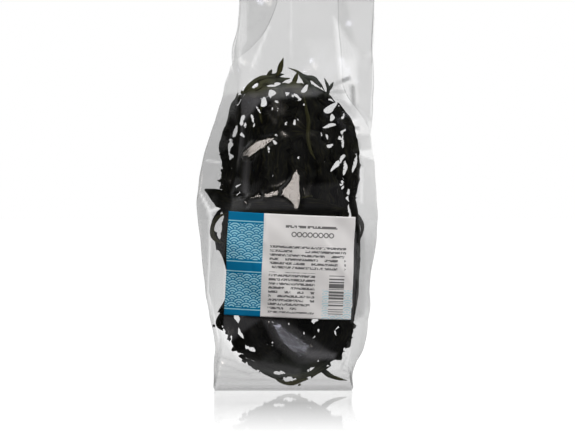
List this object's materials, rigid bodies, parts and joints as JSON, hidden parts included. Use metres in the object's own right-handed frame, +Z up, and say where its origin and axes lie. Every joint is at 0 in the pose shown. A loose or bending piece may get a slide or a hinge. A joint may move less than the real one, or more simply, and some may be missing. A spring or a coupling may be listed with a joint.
{
  "type": "bag of dried wakame",
  "caption": "Clear side-gusseted film bag standing on its block bottom, with a hank of long dried wakame fronds inside and a paper label on its front.",
  "frame": {"origin": "on the surface the bag stands on, under the middle of its bounding box", "axes": "+Z up along the bag's height; the labelled front faces -Y; +X to the right as seen from the front; the bag's depth is along Y"},
  "size_m": [0.1172, 0.0622, 0.285],
  "materials": {
    "film": "clear crinkled film",
    "label": "satin printed paper, off-white with a blue band",
    "frond": "dried seaweed, near black to olive, satin"
  },
  "bodies": {
    "root": {"bag_film": "film", "label": "label", "frond_a1": "frond", "frond_a2": "frond", "frond_b1": "frond", "frond_b2": "frond", "frond_b3": "frond", "frond_c1": "frond", "frond_c2": "frond", "frond_c3": "frond", "frond_c4": "frond", "frond_c5": "frond", "frond_d1": "frond", "frond_d2": "frond", "frond_d3": "frond", "frond_e1": "frond", "frond_e2": "frond", "frond_broad": "frond"}
  },
  "joints": []
}
